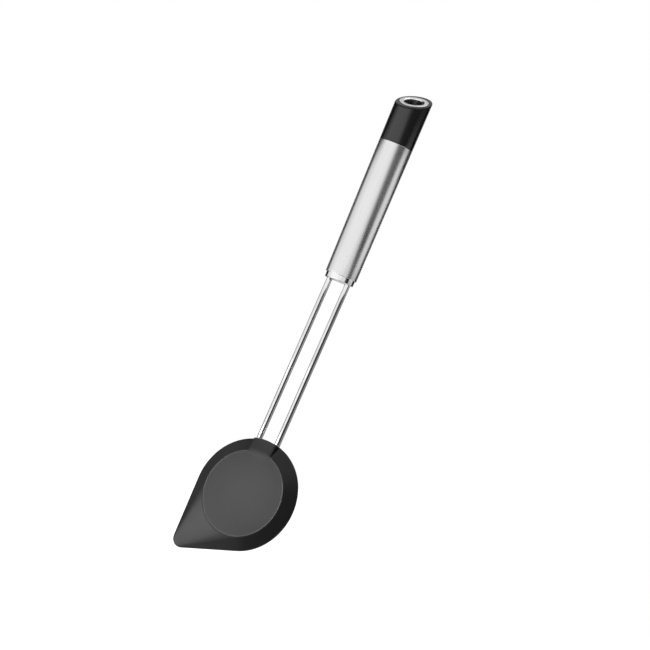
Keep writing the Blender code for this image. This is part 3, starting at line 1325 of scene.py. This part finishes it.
    def _neck_ring(self, step: int) -> Point:
        """Size one ring of the neck's rounded edge.

        Args:
            step: which ring, from the back.

        Returns:
            Its radius round the wire's turn, and its height.
        """
        angle = math.pi * step / self.neck_steps - math.pi / 2
        across, high = max(math.cos(angle), 0.0), math.sin(angle)
        side = self.line.spacing / 2 + self.neck_side * across**self.neck_square
        return side, math.copysign(self.neck_thick * abs(high) ** self.neck_square, high)

    def _neck(self) -> Workpiece:
        """Make the neck: a rounded tongue round the U of the wire, which rises to the disc.

        Returns:
            The neck, in the head's own plane.
        """
        turn_height = self.radius - self.line.grip_length
        top = self.radius + self.neck_spare
        centre = (-self.offset, turn_height, 0.0)
        radius, height = self._neck_ring(0)
        place = (-self.offset, turn_height, height)
        work = Workpiece.circle("head_neck", radius, self.neck_sides, place)
        ring = work.chosen()
        work.choose(work.among(ring, lambda spot: spot.y > turn_height + MERGE_DISTANCE))
        work.scale((1.0, 0.0, 1.0), centre)
        work.move((0.0, top - turn_height, 0.0))
        work.choose(ring)
        work.fill()
        for step in range(1, self.neck_steps + 1):
            wide, high = self._neck_ring(step)
            work.extrude((0.0, 0.0, high - height))
            ring = work.chosen()
            lower = work.among(ring, lambda spot: spot.y < (turn_height + top) / 2)
            work.choose(lower)
            work.scale((wide / radius, wide / radius, 1.0), centre)
            work.choose(set(ring) - set(lower))
            work.scale((wide / radius, 1.0, 1.0), centre)
            work.choose(ring)
            radius, height = wide, high
        work.fill()
        self._raise_front(work)
        work.release()
        start, along = (0.0, 0.0, -self.neck_trim), (0.0, 0.0, 2 * self.neck_trim)
        trim = Workpiece.rod("neck_trim", self.radius + self.neck_proud, self.sides, start, along)
        work.combine(trim, Join.KEEP)
        return work

    def _raise_front(self, work: Workpiece) -> None:
        """Lift the neck's front, a little at the rim and up to the disc's level at the disc.

        Args:
            work: the neck.
        """
        for cut in range(self.cuts):
            work.bisect((self.cut_start + self.cut_pitch * cut, 0.0, 0.0), (1.0, 0.0, 0.0))
        disc = self.disc_radius
        for row in self.rows:
            work.bisect((0.0, disc + self.row_pitch * row, 0.0), (0.0, 1.0, 0.0))
        rise = self.disc_front + self.neck_over - self.neck_thick - self.neck_rise
        spots = [(vert.index, vert.co.copy()) for vert in work.shape.verts]
        for point, spot in spots:
            if spot.z <= self.lift_from:
                continue
            out = spot.xy.length
            share = min(1.0, (self.radius - out) / (self.radius - disc - self.bead_hollow))
            tucked = self.tuck if out < disc - self.tuck_start else 0.0
            work.choose([point])
            work.move((0.0, 0.0, self.neck_rise + rise * share - tucked))

    def _wear_and_highlight(self, spot: Vector) -> float:
        """Tell how pale a point is: worn some at the rim, and with a painted highlight on the
        disc's bead, strongest low down.

        Args:
            spot: the point, from the middle of the head's round.

        Returns:
            The wear and painted highlight, 0 to 1.
        """
        flat = Vector((spot.x, spot.dot(self.line.head_up), 0.0))
        neck_reach = self.line.spacing / 2 + self.neck_side
        if flat.y > 0.0 and abs(flat.x + self.offset) < neck_reach:
            return 0.0
        if abs(self._outline_distance(flat)) < self.rim_band:
            return self.rim_wear
        # The disc's bead gets a painted highlight, strongest low down and fading towards the top.
        on_bead = abs(flat.length - self.disc_radius + self.bead_crest) < self.bead_band
        if not on_bead or spot.dot(self.line.head_out) <= self.front:
            return 0.0
        fade = self.bead_highlight_fade * (1.0 - flat.y / self.disc_radius)
        return min(1.0, max(self.least_bead_highlight, fade))

    def _outline_distance(self, spot: Vector) -> float:
        """Measure how far inside the outline a point of the head's plane is.

        Args:
            spot: the point, from the middle of the head's round.

        Returns:
            The distance, negative outside.
        """
        along = spot.dot(self.tip_way)
        aside = (spot - self.tip_way * along).length
        lean = self.side_angle
        foot = along * math.sin(lean) - aside * math.cos(lean)
        if foot < 0.0:
            return self.radius - spot.length
        if foot > (self.tip_reach - self.tip_radius) * math.sin(lean):
            return self.tip_radius - (spot - self.tip_centre).length
        return self.radius - (along * math.cos(lean) + aside * math.sin(lean))


# Studio


@dataclass(frozen=True)
class PhotographView:
    """The camera where the photograph was taken."""

    place: Place = (0.677925, -1.169340, -0.205189)
    right: Place = (0.804771, 0.450422, 0.386606)
    up: Place = (-0.320686, -0.218159, 0.92172)
    lens: float = 110.77
    sensor: float = 36.0
    nearest: float = 0.05
    farthest: float = 20.0

    def make(self) -> None:
        """Make the camera and look through it."""
        data = bpy.data.cameras.new("photograph_view")
        camera = bpy.data.objects.new("photograph_view", data)
        bpy.context.scene.collection.objects.link(camera)
        data.lens, data.sensor_width = self.lens, self.sensor
        data.clip_start, data.clip_end = self.nearest, self.farthest
        back = Vector(self.right).cross(Vector(self.up)).normalized()
        turn = Matrix((self.right, self.up, back)).transposed()
        camera.matrix_world = Matrix.Translation(self.place) @ turn.to_4x4()
        bpy.context.scene.camera = camera


@dataclass(frozen=True)
class Flag:
    """A card that stands round the spoon, dark or glowing, and sheer towards its borders.

    Angles are in degrees to the right of the camera, and the upper edge spans those of the
    lower one where it has none. A fade is a share of the width, at the start and the end, or
    of the height, at the foot and the top.
    """

    name: str
    distance: float
    heights: Range
    lower: Range
    upper: Range | None = None
    glow: float = 0.0
    side_fades: Range = (0.001, 0.001)
    end_fades: Range = (0.001, 0.001)


FLAGS = (
    Flag("flag_right_low", 0.45, (-0.113, -0.06), (39.5, 77.0), (24.0, 75.0), 0.02, (0.1, 0.2)),
    Flag("flag_right_high", 0.45, (-0.06, 0.16), (24.0, 75.0), (-34.0, 65.0), 0.11, (0.1, 0.2),
         (0.001, 0.2)),
    Flag("flag_collar", 0.45, (-0.14, -0.113), (48.5, 74.0), None, 0.02, (0.08, 0.3)),
    Flag("flag_far_right_low", 0.46, (-0.42, -0.108), (66.0, 116.0), None, 0.42),
    Flag("flag_far_right_high", 0.46, (0.012, 0.3), (55.0, 116.0), None, 0.1, (0.001, 0.15),
         (0.04, 0.001)),
    Flag("flag_back_right", 0.50, (-0.42, 0.3), (112.0, 152.0), None, 0.0, (0.16, 0.001)),
    Flag("flag_back", 0.50, (-0.42, 0.3), (150.0, 212.0), None, 0.55),
    Flag("flag_back_left", 0.50, (-0.42, 0.3), (-150.0, -108.0), None, 0.0, (0.001, 0.3)),
    Flag("flag_back_high", 0.52, (0.3, 0.9), (-205.0, -120.0), None, 0.58, (0.05, 0.05),
         (0.1, 0.1)),
    Flag("flag_cap_right", 0.47, (-0.011, 0.3), (98.0, 126.0), None, 0.0, (0.45, 0.001)),
    Flag("flag_left_high", 0.49, (0.008, 0.3), (-125.0, -68.0), None, 0.0, (0.001, 0.8)),
    Flag("flag_rods", 0.16, (-0.268, -0.134), (-17.0, 50.0), (-12.0, 50.0), 0.05, (0.03, 0.02),
         (0.06, 0.001)),
    Flag("flag_rods_left_low", 0.13, (-0.243, -0.208), (-80.0, -40.0), None, 1.0, (0.08, 0.08),
         (0.19, 0.15)),
    Flag("flag_rods_left_high", 0.13, (-0.19, -0.131), (-80.0, -40.0), None, 1.0, (0.08, 0.08),
         (0.1, 0.001)),
    Flag("flag_rods_edge", 0.13, (-0.256, -0.131), (-178.0, -100.0), None, 0.22, (0.05, 0.25),
         (0.06, 0.001)),
    Flag("flag_rods_side", 0.16, (-0.268, -0.134), (49.0, 80.0), None, 0.24, (0.02, 0.05),
         (0.06, 0.001)),
    Flag("flag_rods_top", 0.13, (-0.16, -0.1295), (-15.0, 60.0), None, 0.1, (0.03, 0.05),
         (0.3, 0.04)),
    Flag("flag_head", 0.20, (-0.42, -0.245), (-52.0, 75.0), (-40.0, 75.0), 0.31, (0.15, 0.05),
         (0.001, 0.08)),
    Flag("flag_head_left", 0.36, (-0.42, -0.16), (-135.0, -88.0), None, 0.45, (0.05, 0.4),
         (0.001, 0.2)),
)


@dataclass(frozen=True)
class Lamp:
    """A soft rectangular lamp: where it hangs, what it shines at, its size and its watts."""

    name: str
    angle: float
    distance: float
    height: float
    target: Place
    size: Point
    power: float


MIDDLE: Place = (0.0022, 0.0025, -0.1631)
HEAD: Place = (0.0019, -0.0083, -0.2888)
NECK: Place = (0.0, -0.01, -0.255)
LAMPS = (
    Lamp("soft_box", -35.0, 0.95, 0.0, MIDDLE, (1.8, 1.0), 1.0),
    Lamp("head_light", -57.8, 0.35, -0.234, HEAD, (0.04, 0.04), 0.11),
    Lamp("tip_light", -68.0, 0.35, -0.325, HEAD, (0.12, 0.10), 0.23),
    Lamp("neck_light", -62.0, 0.25, -0.160, NECK, (0.05, 0.05), 0.045),
    Lamp("back_light", 165.0, 0.80, 0.10, MIDDLE, (0.8, 0.8), 2.2),
    Lamp("top_light", 93.5688, 0.357339, 1.2, MIDDLE, (0.9, 0.9), 3.0),
)


@dataclass(frozen=True)
class Studio:
    """Floor, surroundings, flags and lamps."""

    flags: tuple[Flag, ...] = FLAGS
    lamps: tuple[Lamp, ...] = LAMPS
    middle: Place = MIDDLE
    camera_angle: float = -60.016547
    floor_height: float = -0.42
    floor_radius: float = 3.0
    floor_sides: int = 96
    floor_colour: Colour = (0.90, 0.90, 0.90)
    floor_glow: float = 0.75
    world_strength: float = 0.5

    def spot(self, angle: float, distance: float, height: float) -> Vector:
        """Find a place round the spoon.

        Args:
            angle: degrees to the right of the camera.
            distance: how far from the middle of the spoon.
            height: its height.

        Returns:
            The place.
        """
        turn = math.radians(self.camera_angle + angle)
        across, back, _ = self.middle
        away = Vector((math.cos(turn), math.sin(turn), 0.0)) * distance
        return away + Vector((across, back, height))

    def background(self) -> None:
        """Make a world of plain white for the camera and gloss, and softer for matte light."""
        world = bpy.data.worlds.new("pale_room")
        bpy.context.scene.world = world
        world.use_nodes = True
        bench = NodeBench(world.node_tree)
        light = bench.tree.nodes["Background"]
        strength = self.world_strength + bench.seen_plainly() * (1.0 - self.world_strength)
        bench.put(light.inputs["Color"], WHITE)
        bench.put(light.inputs["Strength"], strength)

    def floor(self) -> None:
        """Lay a plain pale floor that is white where no shadow falls, and clear from below."""
        place = (0.0, 0.0, self.floor_height)
        work = Workpiece.circle("floor", self.floor_radius, self.floor_sides, place)
        work.fill()
        bpy.ops.object.mode_set(mode="OBJECT")
        shop = FinishShop("pale_floor")
        shop.dress(
            Base_Color=self.floor_colour,
            Roughness=1.0,
            Specular_IOR_Level=0.0,
            Emission_Color=WHITE,
            Emission_Strength=shop.seen_plainly() * self.floor_glow,
        )
        below = shop.node("ShaderNodeNewGeometry", output="Backfacing")
        clear = shop.node("ShaderNodeBsdfTransparent")
        sides = {0: below, 1: shop.shader.outputs[0], 2: clear}
        work.item.data.materials.append(shop.show(shop.node("ShaderNodeMixShader", {}, sides)))

    def stand_flag(self, flag: Flag) -> None:
        """Stand up a card that the spoon mirrors and the camera doesn't see.

        Args:
            flag: the card.
        """
        (low, high), (left, right) = flag.heights, flag.lower
        upper_left, upper_right = flag.upper or flag.lower
        spots = ((left, low), (right, low), (upper_right, high), (upper_left, high))
        corners = [tuple(self.spot(angle, flag.distance, height)) for angle, height in spots]
        mesh = bpy.data.meshes.new(flag.name)
        mesh.from_pydata(corners, [], [(0, 1, 2, 3)])
        spread = mesh.uv_layers.new(name="spread")
        for loop, corner in zip(spread.data, ((0.0, 0.0), (1.0, 0.0), (1.0, 1.0), (0.0, 1.0))):
            loop.uv = corner
        mesh.materials.append(self._flag_cloth(flag))
        item = bpy.data.objects.new(flag.name, mesh)
        bpy.context.scene.collection.objects.link(item)
        item.visible_camera = False
        item.visible_shadow = False

    def _flag_cloth(self, flag: Flag) -> bpy.types.Material:
        """Make the flag's cloth, which is sheer towards its borders.

        Args:
            flag: the card.

        Returns:
            Its material.
        """
        shop = FinishShop(flag.name)
        across, up, _ = shop.parts(shop.node("ShaderNodeTexCoord", output="UV"))
        cover: Signal | None = None
        for way, (first, last) in ((across, flag.side_fades), (up, flag.end_fades)):
            span = way.within(0.0, first) * (1.0 - way.within(1.0 - last, 1.0))
            cover = span if cover is None else cover * span
        clear = shop.node("ShaderNodeBsdfTransparent")
        cloth = shop.node("ShaderNodeEmission", {}, {"Color": WHITE, "Strength": flag.glow})
        return shop.show(shop.node("ShaderNodeMixShader", {}, {0: cover, 1: clear, 2: cloth}))

    def hang_lamp(self, lamp: Lamp) -> None:
        """Hang a lamp.

        Args:
            lamp: the lamp.
        """
        data = bpy.data.lights.new(lamp.name, "AREA")
        data.shape = "RECTANGLE"
        data.size, data.size_y = lamp.size
        data.energy = lamp.power
        item = bpy.data.objects.new(lamp.name, data)
        bpy.context.scene.collection.objects.link(item)
        item.location = self.spot(lamp.angle, lamp.distance, lamp.height)
        item.rotation_mode = "QUATERNION"
        aim = Vector(lamp.target) - item.location
        item.rotation_quaternion = aim.to_track_quat("-Z", "Y")
        item.visible_camera = False

    def build(self) -> None:
        """Set the whole studio up."""
        self.background()
        self.floor()
        for flag in self.flags:
            self.stand_flag(flag)
        for lamp in self.lamps:
            self.hang_lamp(lamp)
        LOG.info("studio: floor, %d flags, %d lamps", len(self.flags), len(self.lamps))


def main() -> None:
    """Build the spoon piece by piece, then the studio and the camera."""
    logging.basicConfig(level=logging.INFO, format="%(message)s")
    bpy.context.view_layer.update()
    bpy.context.scene.view_settings.view_transform = "Standard"
    eyelet_steel = PolishedSteel(
        "polished_steel_eyelet",
        Slot.POLISHED_STEEL,
        Grain.ROUND,
        colour=(0.74, 0.74, 0.745),
        bright_colour=(0.82, 0.82, 0.82),
        roughness=0.22,
        tilt=SLANT,
    )
    pieces: tuple[Piece, ...] = (
        HandleTube("handle_tube", BrushedSteel("brushed_steel_handle", Slot.BRUSHED_STEEL)),
        EndPlug(
            "end_plug", PolishedSteel("polished_steel_plug", Slot.POLISHED_STEEL, Grain.ROUND)
        ),
        WireShank("wire_shank", PolishedSteel("polished_steel_wire", Slot.POLISHED_STEEL)),
        HangingEyelet("hanging_eyelet", eyelet_steel),
        EndCap("end_cap", BlackPlastic("black_plastic_cap", Slot.BLACK_PLASTIC, slant=SLANT)),
        SpoonHead("spoon_head", DarkNylon("dark_nylon_head", Slot.DARK_NYLON)),
    )
    for piece in pieces:
        piece.fit()
    Studio().build()
    PhotographView().make()


if __name__ == "__main__":
    main()
